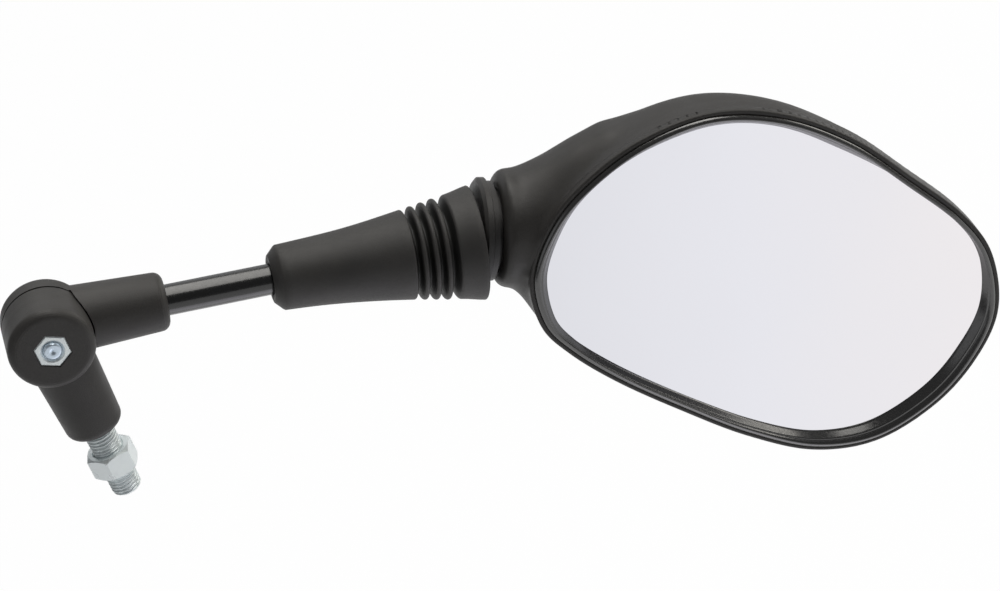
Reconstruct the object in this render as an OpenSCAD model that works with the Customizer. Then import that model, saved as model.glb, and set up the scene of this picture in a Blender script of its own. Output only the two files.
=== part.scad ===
// Motorcycle mirror: threaded stud, folding knuckle, round arm, rubber boot, ball joint and teardrop head.
// Z is up. The stud hangs straight down from the knuckle, the arm leaves to +X and the nut side faces -Y.
// The origin is on the stud's axis, at the lower face of the lock nut, which seats on the handlebar clamp.

/* [Stud and lock nut] */
// Major diameter of the stud's thread
stud_d = 10; // [8:0.5:12]
// Thread that stands free below the lock nut
stud_free = 8.7; // [7:0.1:30]
// Chamfer at the free end of the stud
stud_chamfer = 1.0; // [0.4:0.1:1.5]
// Width of the relief that is cut behind the free thread
relief_w = 1.2; // [1:0.1:2]
// Depth of that relief
relief_depth = 0.6; // [0.4:0.1:1]
// Width of the lock nut across its flats
lock_nut_af = 14; // [14:0.5:19]
// Height of the lock nut
lock_nut_h = 8; // [5:0.5:10]
// Turn of the lock nut about the stud
lock_nut_turn = 16.7; // [0:0.1:60]
// Thread that shows between the lock nut and the barrel
stud_above_nut = 9.0; // [6:0.1:20]
// Width across the flats of the stud's moulded-in head
stud_head_af = 15; // [13:0.5:16]
// Thickness of that head
stud_head_h = 5; // [3:0.5:6]

/* [Knuckle] */
// Radius of the two hub discs
disc_r = 13.8; // [13:0.1:16]
// Thickness of the front half, measured from the parting plane
front_t = 17.1; // [15:0.1:20]
// Thickness of the rear half, measured from the parting plane
rear_t = 7.3; // [6.5:0.1:9]
// Rounding of the outer edges of the discs
disc_round = 2.8; // [1:0.1:3.5]
// Gap between the two halves, which the friction disc fills
disc_gap = 0.8; // [0.5:0.1:1.5]
// Gap between a disc and the other half's barrel
swing_gap = 0.5; // [0.5:0.1:1.5]
// Radius of a barrel at the hub's axis
barrel_r = 11.0; // [10.5:0.1:11.5]
// Draft of a barrel, as radius lost for each millimetre of length
barrel_draft = 0.0407; // [0:0.001:0.05]
// Rounding of a barrel's end
barrel_round = 3.0; // [1:0.1:4]
// Length of the arm's barrel from the hub's axis
arm_barrel_l = 38.4; // [34:0.1:50]
// Length of the stud's barrel from the hub's axis
stud_barrel_l = 38.0; // [36:0.1:50]
// Distance of the arm's axis behind the parting plane
arm_back = 0.9; // [0:0.1:3]
// Distance of the stud's axis in front of the parting plane
stud_front = 5.0; // [2:0.1:6]
// Angle of the arm below the horizontal
arm_droop = 14.8; // [5:0.1:14.8]
// Furthest that the arm folds towards the stud from rest
fold_in = 1.0; // [0.5:0.1:3]

/* [Pivot bolt] */
// Thread diameter of the pivot bolt
bolt_d = 6; // [5:0.5:6]
// Length of the bolt under its head
bolt_l = 25; // [24:0.1:26]
// Width of the bolt's head and nut across the flats
bolt_af = 10; // [9:0.5:11]
// Height of the bolt's head
bolt_head_h = 4; // [3:0.1:5]
// Height of the pivot nut
pivot_nut_h = 5; // [4:0.1:6]
// Distance of the nut's face below the disc's face
nut_sunk = 0.4; // [0.2:0.1:1]
// Turn of the pivot nut from the horizontal
pivot_nut_turn = 29.6; // [0:0.1:60]
// Thickness of the plain washer
washer_t = 1.2; // [0.8:0.1:1.6]
// Thickness of the spring washer
spring_washer_t = 1.6; // [1:0.1:2]
// Depth of the washers' seat in the rear disc
seat_depth = 2.2; // [1.5:0.1:2.6]

/* [Arm and boot] */
// Diameter of the arm
rod_d = 10; // [8:0.5:11]
// Length of the arm from the hub's axis to the centre of its ball
rod_l = 152.5; // [148:0.5:170]
// Distance from the hub's axis to the arm's moulded-in end
rod_root = 16; // [14:0.5:20]
// Radius of the flange on the moulded-in end
rod_flange_r = 6.5; // [6:0.1:7.5]
// Radius of the ball
ball_r = 8; // [7.5:0.1:9]
// Length of the boot
boot_l = 67.7; // [66:0.1:70]
// Distance from the boot's open end to the centre of the ball
boot_to_ball = 13.0; // [12.5:0.1:16]
// Radius of the boot's nose
boot_nose_r = 10.5; // [9:0.1:11]
// Radius of the boot where its bellows begin
boot_flare_r = 14.6; // [13.5:0.1:15]
// Radius of the boot's open end
boot_end_r = 18.6; // [18.5:0.1:20]
// Number of bellows ridges
ridges = 3; // [2:1:3]
// Distance from one ridge to the next
ridge_pitch = 3.6; // [3:0.1:3.8]
// Depth of the grooves between the ridges
groove_depth = 2.4; // [1:0.1:2.8]
// Wall of the boot
boot_wall = 1.6; // [1.2:0.1:1.8]
// Thickness of the lip at the boot's open end
boot_lip = 1.0; // [0.8:0.1:1.2]
// Angle by which the boot sags below the arm
boot_sag = 1.5; // [0:0.05:2.2]

/* [Ball joint] */
// Turn of the head in the plane of its glass, from the arm
head_swing = -9.2; // [-10:0.1:4]
// Nod of the head, from the arm
head_tilt = -3.1; // [-4:0.1:4]
// Roll of the head about its neck, from the arm
head_roll = -0.7; // [-40:0.1:40]
// Thickness of the plastic seats round the ball
seat_t = 2.4; // [2:0.1:3]
// Furthest lean of the arm in the ball cap from the neck's axis
lean = 17.5; // [15:0.5:18]
// Radius of the cap's raised ring
cap_r = 17.3; // [16.5:0.1:17.4]
// Radius of the cap's lower step
cap_step_r = 16.1; // [15:0.1:16.4]
// Distance from the ball's centre to the outer face of the cap
cap_out = 12.9; // [12:0.1:13.2]
// Width of the cap's raised ring
cap_ring_w = 2.7; // [2:0.1:3.2]
// Thickness of a disc spring
spring_t = 1.2; // [0.8:0.1:1.5]
// Cone height of a disc spring
spring_cone = 1.0; // [0.5:0.1:1.5]
// Number of disc springs
springs = 2; // [2:1:4]

/* [Head] */
// Radius of the housing's neck
neck_r = 18.4; // [18.1:0.1:20]
// Radius of the neck's bore
bore_r = 13.5; // [13:0.1:14.5]
// Radius of the inner bore, in which the pressure cup slides
cup_r = 11.2; // [11.1:0.1:12]
// Distance from the ball's centre to the mouth of the neck
neck_out = 7.4; // [7:0.1:8]
// Rounding of the neck's mouth
neck_round = 3.8; // [2:0.1:4]
// Distance from the ball's centre to the plane of the rim
rim_front = 20; // [19.5:0.1:24]
// Wall of the housing
shell_wall = 2.0; // [1.6:0.1:3]
// Distance from the ball's centre to the housing's back
back_depth = 22.5; // [20:0.1:24]
// Depth of the housing at its far end
tip_depth = 14; // [14:0.5:18]
// Depth of the straight lip round the housing's edge
lip_h = 9.5; // [9:0.5:11]
// Squareness of the housing's cross sections
bowl_power = 2.8; // [2.2:0.1:3.4]
// Width of the rim ring
rim_w = 3.5; // [3.4:0.1:5]
// Depth of the rim ring inside the housing
rim_skirt = 7; // [6:0.5:8]
// Thickness of the glass
glass_t = 2; // [1.8:0.1:3]
// Crown of the glass, from its edge to its middle
glass_crown = 2.0; // [0:0.1:2.4]
// Distance from the rim's crest down to the edge of the glass
glass_sunk = 3.4; // [3:0.1:4]
// Width of the glass that the rim covers
glass_lap = 1.4; // [1:0.1:2]
// Thickness of the foam pad behind the glass
pad_t = 1.0; // [0.6:0.1:2]
// Thickness of the carrier plate
carrier_t = 2.0; // [1.6:0.1:3]
// Thread diameter of the carrier's screws
screw_d = 3.5; // [3:0.5:4]
// Length of the carrier's screws
screw_l = 12; // [10:0.5:14]
// Radius of the screw bosses in the housing
boss_r = 4.2; // [3.8:0.1:5]

/* [Hidden] */
$fn = 72;

// Clearances: a running fit, a snug fit, and the air between pieces that aren't in contact
run_gap = 0.05;
snug_gap = 0.05;
air_gap = 0.3;

// Distance of the housing's edge below the crest of the rim ring
crease = 1.2;

// Length over which the bowl's back rises from the neck
shoulder_l = 36;

// Heights and places that follow from the driving sizes
hub_z = lock_nut_h + stud_above_nut + stud_barrel_l;
relief_r = disc_r + swing_gap;
hex_k = 1 / cos(30);
boot_start = rod_l - boot_to_ball - boot_l;
seat_r = ball_r + run_gap;
shell_r = seat_r + seat_t;
socket_r = shell_r + run_gap;
washer_r = bolt_af * 0.6;
throat_r = rod_d / 2 + 0.2;
spigot_end = 1.5;
spring_floor = socket_r + 1.8 + springs * spring_cone + spring_t;

// Colours of the finished pieces
black_plastic = [0.2, 0.2, 0.19];
black_rubber = [0.14, 0.14, 0.14];
gloss_black = [0.05, 0.05, 0.05];
zinc = [0.78, 0.82, 0.85];
seat_white = [0.85, 0.84, 0.8];
glass_tint = [0.86, 0.87, 0.92];

// Half of the outline of the head, from the neck's side to the far end: station, upper edge, lower edge
outline_left = [1.6, -7.9];
outline_right = [162.2, -25.2];
outline_rows = [
    [6.5, 10.6, -25.4], [17, 25.3, -36.2], [34, 39.3, -47.4], [56, 48.1, -58.7], [80, 47.1, -69.5],
    [104, 38.1, -76.1], [126, 23.7, -73.5], [145, 9.9, -60.6], [157, -4.6, -43.8]
];
outline_keys = concat(
    [outline_left],
    [for (row = outline_rows) [row[0], row[1]]],
    [outline_right],
    [for (i = [len(outline_rows) - 1 : -1 : 0]) [outline_rows[i][0], outline_rows[i][2]]]
);
outline_steps = 4;

// Flare of the neck into the bowl: station, upper edge, lower edge
neck_flare = [[-1, 0, 0], [3, 1.2, -4], [9, 4.5, -11.5], [17, 10.5, -17.5], [27, 17, -22], [38, 20, -26]];

// Loss of the lip's depth along the head: station, depth lost
lip_loss = [[0, 0], [60, 0], [80, 1], [100, 4.5], [118, 5.5], [140, 3], [162, 1.5]];

// Places of the carrier's screws in the plane of the glass
screw_places = [[34, 8], [52, -28], [92, 12], [98, -46]];

// Point of a closed smooth curve through the key points, at key i and share t of the way to the next
function curve_point(keys, i, t) =
    let (
        n = len(keys),
        a = keys[(i + n - 1) % n],
        b = keys[i % n],
        c = keys[(i + 1) % n],
        d = keys[(i + 2) % n]
    )
    0.5 * (2 * b + (c - a) * t + (2 * a - 5 * b + 4 * c - d) * t * t + (3 * b - a - 3 * c + d) * t * t * t);

outline_pts = [
    for (i = [0 : len(outline_keys) - 1], k = [0 : outline_steps - 1])
        curve_point(outline_keys, i, k / outline_steps)
];
outline_n = len(outline_pts);

// Unit normal that points into the outline at point i; the points run clockwise seen from the glass side
function inward(i) =
    let (
        a = outline_pts[(i + outline_n - 1) % outline_n],
        b = outline_pts[(i + 1) % outline_n],
        d = b - a
    )
    [d[1], -d[0]] / norm(d);

function inset_point(i, distance) = outline_pts[i % outline_n] + inward(i % outline_n) * distance;
function inset(distance) = [for (i = [0 : outline_n - 1]) inset_point(i, distance)];
function glass_inset() = shell_wall + rim_w - glass_lap;

// Share from 0 at the neck to 1 at the far end
function along_head(u) = max(0, min(1, (u - outline_left[0]) / (outline_right[0] - outline_left[0])));
function ease(x) = x * x * (3 - 2 * x);
function bowl_depth(u) =
    tip_depth
        + (rim_front + back_depth - tip_depth) * (1 - pow(ease(along_head(u)), 0.9))
        - (back_depth - neck_r + 0.5) * (1 - ease(max(0, min(1, (u - outline_left[0]) / shoulder_l))));
function lip_depth(u) = crease + lip_h - lookup(u, lip_loss);

// Depth of the housing's back behind the rim's crest, at a place in the plane of the glass
function edge_v(u, side) =
    lookup(u, concat([outline_left], [for (row = outline_rows) [row[0], row[side]]], [outline_right]));
function bowl_back(p) =
    let (hi = edge_v(p[0], 1), lo = edge_v(p[0], 2), across = abs(2 * p[1] - hi - lo) / (hi - lo))
    lip_depth(p[0]) + (bowl_depth(p[0]) - lip_depth(p[0])) * pow(1 - pow(across, bowl_power), 1 / bowl_power);

// Points of an arc about a centre in a profile
function arc(centre, r, from, to, steps = 6) =
    [for (k = [0 : steps]) let (a = from + (to - from) * k / steps) centre + r * [cos(a), sin(a)]];

// One closed ring of a superellipse about (u, v, w), in the plane across the neck
function oval(u, v, w, half_v, half_w, power, steps) = [
    for (k = [0 : steps - 1])
        let (a = 360 * k / steps, c = cos(a), s = sin(a))
        [
            u,
            v + half_v * sign(c) * pow(abs(c), 2 / power),
            w + half_w * sign(s) * pow(abs(s), 2 / power)
        ]
];

// Solid skin over rings that all have the same number of points
module skin(rings) {
    n = len(rings[0]);
    last = len(rings) - 1;
    polyhedron(
        points = [for (ring = rings, p = ring) p],
        faces = concat(
            [[for (i = [0 : n - 1]) i]],
            [
                for (j = [0 : last - 1], i = [0 : n - 1])
                    let (a = j * n + i, b = j * n + (i + 1) % n)
                    [a, a + n, b + n, b]
            ],
            [[for (i = [n - 1 : -1 : 0]) last * n + i]]
        ),
        convexity = 6
    );
}

// Closed band that follows the outline, with a profile of inward distance and height at each point
module outline_band(profile) {
    m = len(profile);
    polyhedron(
        points = [
            for (i = [0 : outline_n - 1], p = profile)
                let (q = inset_point(i, p[0]))
                [q[0], q[1], p[1]]
        ],
        faces = [
            for (i = [0 : outline_n - 1], k = [0 : m - 1])
                let (j = (i + 1) % outline_n, l = (k + 1) % m)
                [i * m + k, j * m + k, j * m + l, i * m + l]
        ],
        convexity = 6
    );
}

// Crowned plate inside the outline: it's flat at its edge and stands higher in the middle
crown_rings = 5;
module crowned_plate(distance, base, thickness, crown) {
    edge = inset(distance);
    middle = [80, -12];
    n = len(edge);
    top = [
        for (j = [0 : crown_rings - 1], p = edge)
            let (s = 1 - j / crown_rings, q = middle + (p - middle) * s)
            [q[0], q[1], base + thickness + crown * (1 - s * s)]
    ];
    bottom = [for (p = top) [p[0], p[1], p[2] - thickness]];
    half = n * crown_rings;
    top_tip = 2 * half;
    bottom_tip = top_tip + 1;
    polyhedron(
        points = concat(
            top,
            bottom,
            [[middle[0], middle[1], base + thickness + crown], [middle[0], middle[1], base + crown]]
        ),
        faces = concat(
            [
                for (j = [0 : crown_rings - 2], i = [0 : n - 1])
                    let (a = j * n + i, b = j * n + (i + 1) % n)
                    [a, b, b + n, a + n]
            ],
            [for (i = [0 : n - 1]) [(crown_rings - 1) * n + i, (crown_rings - 1) * n + (i + 1) % n, top_tip]],
            [
                for (j = [0 : crown_rings - 2], i = [0 : n - 1])
                    let (a = half + j * n + i, b = half + j * n + (i + 1) % n)
                    [a, a + n, b + n, b]
            ],
            [
                for (i = [0 : n - 1])
                    let (a = half + (crown_rings - 1) * n + i, b = half + (crown_rings - 1) * n + (i + 1) % n)
                    [a, bottom_tip, b]
            ],
            [for (i = [0 : n - 1]) let (j = (i + 1) % n) [i, half + i, half + j, j]]
        ),
        convexity = 4
    );
}

// Places of the sub-assemblies
module at_hub() {
    translate([0, stud_front, hub_z]) rotate([90, 0, 0]) children();
}
module at_arm() {
    at_hub() translate([0, 0, -arm_back]) rotate([0, 0, -arm_droop]) children();
}
module at_head() {
    at_arm() translate([rod_l, 0, 0]) rotate([0, 0, head_swing]) rotate([0, head_tilt, 0]) rotate([head_roll, 0, 0])
        children();
}
// Turns a solid of revolution from its own Z axis to X
module along_x() {
    rotate([0, 90, 0]) children();
}

// Disc with its upper edge rounded
module rounded_disc(r, h, edge) {
    rotate_extrude() polygon(concat([[0, 0], [r, 0]], arc([r - edge, h - edge], edge, 0, 90), [[0, h]]));
}

// Tapered barrel along Z with a rounded end
module barrel(length) {
    end_r = barrel_r - barrel_draft * length;
    rotate_extrude()
        polygon(concat(
            [[0, 0], [barrel_r, 0]],
            arc([end_r - barrel_round, length - barrel_round], barrel_round, 0, 90),
            [[0, length]]
        ));
}

// Hexagonal nut or head along Z with chamfered corners on its upper face, and on its lower one if both is true
module hex_block(af, h, both = true) {
    corner = af * hex_k / 2;
    rise = (corner - af * 0.475) * tan(30);
    intersection() {
        cylinder(r = corner, h = h, $fn = 6);
        rotate_extrude()
            polygon([
                [0, 0],
                [both ? af * 0.475 : corner, 0],
                [corner, both ? rise : 0],
                [corner, h - rise],
                [af * 0.475, h],
                [0, h]
            ]);
    }
}

// Stud, turned from one bar: moulded-in hexagonal head, threaded shank, relief and chamfered end
module mounting_stud() {
    top = lock_nut_h + stud_above_nut + stud_barrel_l - rod_root - 1;
    color(zinc) {
        difference() {
            translate([0, 0, -stud_free])
                rotate_extrude()
                    polygon([
                        [0, 0],
                        [stud_d / 2 - stud_chamfer, 0],
                        [stud_d / 2, stud_chamfer],
                        [stud_d / 2, stud_free + top],
                        [0, stud_free + top]
                    ]);
            difference() {
                cylinder(r = stud_d, h = relief_w);
                translate([0, 0, -1]) cylinder(r = stud_d / 2 - relief_depth, h = relief_w + 2);
            }
        }
        translate([0, 0, top - stud_head_h]) cylinder(r = stud_head_af * hex_k / 2, h = stud_head_h, $fn = 6);
    }
}

module lock_nut() {
    color(zinc)
        rotate([0, 0, lock_nut_turn])
            difference() {
                hex_block(lock_nut_af, lock_nut_h);
                translate([0, 0, -1]) cylinder(d = stud_d + 2 * run_gap, h = lock_nut_h + 2);
                for (z = [0, lock_nut_h])
                    translate([0, 0, z - 0.6])
                        cylinder(
                            r1 = stud_d / 2 + (z == 0 ? 1.0 : -0.2),
                            r2 = stud_d / 2 + (z == 0 ? -0.2 : 1.0),
                            h = 1.2
                        );
            }
}

// Front half of the knuckle, which holds the stud
module lower_knuckle() {
    half_gap = disc_gap / 2;
    stud_seat = stud_barrel_l - rod_root - 1;
    color(black_plastic)
        difference() {
            union() {
                at_hub() translate([0, 0, half_gap]) rounded_disc(disc_r, front_t - half_gap, disc_round);
                difference() {
                    translate([0, 0, hub_z]) rotate([180, 0, 0]) barrel(stud_barrel_l);
                    // room for the arm's barrel when it is folded right in
                    at_hub()
                        translate([0, 0, -arm_back])
                            rotate([0, 0, -arm_droop - fold_in])
                                along_x() cylinder(r = barrel_r + air_gap, h = relief_r + arm_barrel_l);
                }
            }
            at_hub() {
                // room for the rear disc
                translate([0, 0, -rear_t - 20]) cylinder(r = relief_r, h = rear_t + 20 + half_gap);
                // barrel above the front face, bolt hole and the nut's hexagonal pocket
                translate([0, 0, front_t]) cylinder(r = relief_r + 5, h = 20);
                translate([0, 0, -1]) cylinder(d = bolt_d + 0.4, h = front_t + 2);
                translate([0, 0, front_t - nut_sunk - pivot_nut_h])
                    rotate([0, 0, pivot_nut_turn])
                        cylinder(r = (bolt_af + 0.6) * hex_k / 2, h = pivot_nut_h + 5, $fn = 6);
            }
            // moulded round the stud
            translate([0, 0, lock_nut_h + stud_above_nut - 1])
                cylinder(d = stud_d + 2 * snug_gap, h = stud_seat - stud_head_h + 1);
            translate([0, 0, lock_nut_h + stud_above_nut + stud_seat - stud_head_h - snug_gap])
                cylinder(r = (stud_head_af + 2 * snug_gap) * hex_k / 2, h = stud_head_h + 2 * snug_gap, $fn = 6);
        }
}

// Rear half of the knuckle, which holds the arm
module upper_knuckle() {
    half_gap = disc_gap / 2;
    color(black_plastic)
        difference() {
            union() {
                at_hub() mirror([0, 0, 1]) translate([0, 0, half_gap])
                    rounded_disc(disc_r, rear_t - half_gap, disc_round);
                at_arm() along_x() barrel(arm_barrel_l);
            }
            at_hub() {
                translate([0, 0, -half_gap]) cylinder(r = relief_r, h = front_t + 20);
                translate([0, 0, -rear_t - 20]) cylinder(r = washer_r + 3, h = 20);
                translate([0, 0, -rear_t - 1]) cylinder(r = washer_r + 0.4, h = seat_depth + 1);
                translate([0, 0, -rear_t - 1]) cylinder(d = bolt_d + 0.4, h = rear_t + 2);
            }
            at_arm() along_x() {
                translate([0, 0, rod_root]) cylinder(d = rod_d + 2 * snug_gap, h = arm_barrel_l);
                translate([0, 0, rod_root - snug_gap]) cylinder(r = rod_flange_r + snug_gap, h = 3 + 2 * snug_gap);
            }
        }
}

module friction_disc() {
    color([0.35, 0.33, 0.3])
        at_hub()
            translate([0, 0, -disc_gap / 2 + run_gap])
                difference() {
                    cylinder(r = disc_r - 1.2, h = disc_gap - run_gap);
                    translate([0, 0, -1]) cylinder(d = bolt_d + 0.4, h = disc_gap + 2);
                }
}

// Depths of the bolt's stack behind the parting plane
washer_floor = rear_t - seat_depth;
head_floor = washer_floor + washer_t + spring_washer_t;

module pivot_bolt() {
    color(zinc)
        at_hub() {
            translate([0, 0, -head_floor])
                rotate_extrude()
                    polygon(concat(
                        [[0, 0], [bolt_d / 2, 0], [bolt_d / 2, bolt_l - 1.2]],
                        arc([bolt_d / 2 - 1.2, bolt_l - 1.2], 1.2, 0, 60, 4),
                        [[bolt_d / 2 - 1.9, bolt_l - 0.25], [0, bolt_l - 0.9]]
                    ));
            translate([0, 0, -head_floor]) mirror([0, 0, 1]) hex_block(bolt_af, bolt_head_h, false);
        }
}

module pivot_nut() {
    color(zinc)
        at_hub()
            translate([0, 0, front_t - nut_sunk - pivot_nut_h])
                rotate([0, 0, pivot_nut_turn])
                    difference() {
                        hex_block(bolt_af, pivot_nut_h);
                        translate([0, 0, -1]) cylinder(d = bolt_d + 2 * snug_gap, h = pivot_nut_h + 2);
                        translate([0, 0, pivot_nut_h - 0.6])
                            cylinder(r1 = bolt_d / 2, r2 = bolt_d / 2 + 0.9, h = 0.7);
                    }
}

module pivot_washer() {
    color(zinc)
        at_hub()
            translate([0, 0, -washer_floor - washer_t])
                difference() {
                    cylinder(r = washer_r, h = washer_t - run_gap);
                    translate([0, 0, -1]) cylinder(d = bolt_d + 0.4, h = washer_t + 2);
                }
}

// Split washer: one cut through a plain ring
module pivot_spring_washer() {
    outer = washer_r - 0.7;
    color(zinc)
        at_hub()
            translate([0, 0, -head_floor])
                difference() {
                    cylinder(r = outer, h = spring_washer_t);
                    translate([0, 0, -1]) cylinder(d = bolt_d + 0.2, h = spring_washer_t + 2);
                    rotate([20, 0, 0]) translate([0, -0.35, -3]) cube([outer + 1, 0.7, 8]);
                }
}

// Arm, turned from one bar: flange inside the knuckle, round shank, neck and ball
module arm_rod() {
    neck_at = rod_l - ball_r * 1.6;
    color(gloss_black)
        at_arm()
            along_x() {
                translate([0, 0, rod_root])
                    rotate_extrude()
                        polygon([
                            [0, 0],
                            [rod_flange_r, 0],
                            [rod_flange_r, 3],
                            [rod_d / 2, 3],
                            [rod_d / 2, neck_at - rod_root],
                            [rod_d / 2 - 0.8, neck_at - rod_root + 2],
                            [rod_d / 2 - 0.8, rod_l - rod_root],
                            [0, rod_l - rod_root]
                        ]);
                translate([0, 0, rod_l]) sphere(r = ball_r);
            }
}

// Outer profile of the boot from its nose to its open end: radius, distance from the nose
bellows_at = 44.3 / 67.7 * boot_l;
collar_at = bellows_at + ridge_pitch * (ridges + 0.86);
function ridge_r(i) = boot_flare_r + 0.6 * (i + 1);
boot_outer = concat(
    [[boot_nose_r - 2.75, 0], [boot_nose_r, 2.9]],
    [
        for (k = [1 : 5])
            let (s = k / 6)
            [boot_nose_r + (boot_flare_r - boot_nose_r) * s - 0.35 * sin(180 * s), 2.9 + (bellows_at - 3.5) * s]
    ],
    [[boot_flare_r, bellows_at - 0.6], [boot_flare_r - 0.5, bellows_at]],
    [
        for (i = [0 : ridges - 1], p = [[-groove_depth, 0.40], [-groove_depth, 0.56], [-0.45, 0.80], [0, 0.92], [0, 1.02], [-0.45, 1.14]])
            [ridge_r(i) + p[0], bellows_at + ridge_pitch * (i + p[1])]
    ],
    [
        [ridge_r(ridges) - groove_depth, bellows_at + ridge_pitch * (ridges + 0.40)],
        [ridge_r(ridges) - groove_depth, bellows_at + ridge_pitch * (ridges + 0.56)],
        [ridge_r(ridges) - 0.4, collar_at - 0.5],
        [ridge_r(ridges) + 0.1, collar_at]
    ],
    arc([boot_end_r - 0.9, boot_l - 0.9], 0.9, 0, 90, 4)
);
boot_inner = concat(
    [[boot_end_r - boot_lip, boot_l], [boot_end_r - boot_lip - 0.1, collar_at + 4.5]],
    [[ridge_r(ridges) - groove_depth - boot_wall + 0.4, collar_at + 1.5]],
    [
        for (i = [ridges - 1 : -1 : 0], p = [[-0.9, 1.06], [-0.9, 0.90], [-groove_depth, 0.56], [-groove_depth, 0.40]])
            [ridge_r(i) + p[0] - boot_wall, bellows_at + ridge_pitch * (i + p[1])]
    ],
    [[boot_flare_r - groove_depth - 0.6, bellows_at - 3], [boot_nose_r - 1.6, 16], [rod_d / 2 + air_gap, 13], [rod_d / 2 + air_gap, 0]]
);

module boot_sleeve() {
    color(black_rubber)
        at_arm()
            translate([boot_start, 0, 0])
                rotate([0, 0, -boot_sag])
                    along_x()
                        difference() {
                            rotate_extrude() polygon(concat(boot_outer, boot_inner));
                            // the bore stays true to the arm where the boot sags
                            rotate([-boot_sag, 0, 0])
                                translate([0, 0, -1]) cylinder(d = rod_d + 2 * air_gap, h = 20);
                        }
}

// Plastic shell seat between two angles from the neck's axis, on the side that dir points to
module ball_seat(from, to, dir) {
    span = concat(
        [for (k = [0 : 8]) let (a = from + (to - from) * k / 8) [seat_r * sin(a), dir * seat_r * cos(a)]],
        [for (k = [8 : -1 : 0]) let (a = from + (to - from) * k / 8) [shell_r * sin(a), dir * shell_r * cos(a)]]
    );
    difference() {
        intersection() {
            sphere(r = shell_r);
            rotate_extrude()
                polygon([
                    [40 * sin(from), dir * 40 * cos(from)],
                    [0, 0],
                    [40 * sin(to), dir * 40 * cos(to)]
                ]);
        }
        sphere(r = seat_r);
    }
}

module front_ball_seat() {
    color(seat_white) at_head() along_x() ball_seat(54, 82, -1);
}

module rear_ball_seat() {
    color(seat_white)
        at_head()
            along_x()
                difference() {
                    intersection() {
                        sphere(r = shell_r);
                        translate([0, 0, 2]) cylinder(r = shell_r + 1, h = shell_r);
                    }
                    sphere(r = seat_r);
                }
}

// Cap that screws into the neck's mouth and holds the ball in: raised ring, step and threaded spigot
module ball_cap() {
    spigot_r = bore_r - snug_gap;
    color(black_plastic)
        at_head()
            along_x()
                difference() {
                    rotate_extrude()
                        polygon([
                            [0, -cap_out],
                            [cap_r - 1.2, -cap_out],
                            [cap_r, -cap_out + 1],
                            [cap_r, -cap_out + cap_ring_w],
                            [cap_step_r + 0.4, -cap_out + cap_ring_w],
                            [cap_step_r + 0.4, -cap_out + cap_ring_w + 0.3],
                            [cap_step_r, -cap_out + cap_ring_w + 0.5],
                            [cap_step_r, -neck_out - 0.6],
                            [spigot_r, -neck_out - 0.6],
                            [spigot_r, -spigot_end - snug_gap],
                            [0, -spigot_end - snug_gap]
                        ]);
                    sphere(r = socket_r);
                    translate([0, 0, -cap_out - 1])
                        cylinder(r1 = throat_r + (cap_out + 1) * tan(lean), r2 = throat_r, h = cap_out + 1);
                }
}

// Cup that the springs press against the rear seat
module pressure_cup() {
    color(seat_white)
        at_head()
            along_x()
                difference() {
                    translate([0, 0, 4]) cylinder(r = cup_r - snug_gap, h = socket_r + 1.8 - 4);
                    sphere(r = socket_r);
                }
}

// Coned springs, set face to face between the cup and the floor of the bore
module disc_springs() {
    color(zinc)
        at_head()
            along_x()
                for (i = [0 : springs - 1])
                    translate([0, 0, socket_r + 1.8 + 0.02 + i * (spring_cone + spring_t / 2)])
                        coned_disc(i % 2 == 0);
}
module coned_disc(up) {
    inner = 5;
    outer = cup_r - 0.4;
    t = spring_t / 2;
    low = up ? 0 : spring_cone;
    high = up ? spring_cone : 0;
    rotate_extrude() polygon([[inner, high], [outer, low], [outer, low + t - 0.04], [inner, high + t - 0.04]]);
}

// Closed form of the bowl behind the rim, drawn in by a distance and flat at its front
bowl_steps = 18;
module bowl(distance, front) {
    half = outline_n / 2;
    skin([
        for (j = [1 : half - 1])
            let (
                a = inset_point(outline_n - j, distance),
                b = inset_point(j, distance),
                mid = (a + b) / 2,
                side = (a - b) / 2,
                lip = rim_front - lip_depth(mid[0]),
                depth = lip - rim_front + bowl_depth(mid[0]) - distance * 1.1
            )
            concat(
                [[a[0], a[1], front]],
                [
                    for (k = [0 : bowl_steps])
                        let (
                            t = 180 * k / bowl_steps,
                            c = cos(t),
                            across = sign(c) * pow(abs(c), 2 / bowl_power),
                            back = k == 0 || k == bowl_steps ? 0 : pow(sin(t), 2 / bowl_power),
                            q = mid + side * across
                        )
                        [q[0], q[1], lip - depth * back]
                ],
                [[b[0], b[1], front]]
            )
    ]);
}

// Flared neck that runs into the bowl
neck_steps = 40;
module neck_form() {
    skin(concat(
        [
            for (k = [0 : 4])
                let (a = 90 * k / 4, r = neck_r - neck_round + neck_round * sin(a))
                oval(-neck_out + neck_round * (1 - cos(a)), 0, 0, r, r, 2, neck_steps)
        ],
        [
            for (row = neck_flare)
                let (
                    hi = neck_r + row[1],
                    lo = -neck_r + row[2],
                    share = (row[0] + 1) / 40,
                    power = 2 + (bowl_power - 2) * share,
                    front = neck_r - 0.2 * share,
                    back = neck_r + (back_depth - neck_r - 6) * share
                )
                oval(row[0], (hi + lo) / 2, (front - back) / 2, (hi - lo) / 2, (front + back) / 2, power, neck_steps)
        ]
    ));
}

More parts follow.
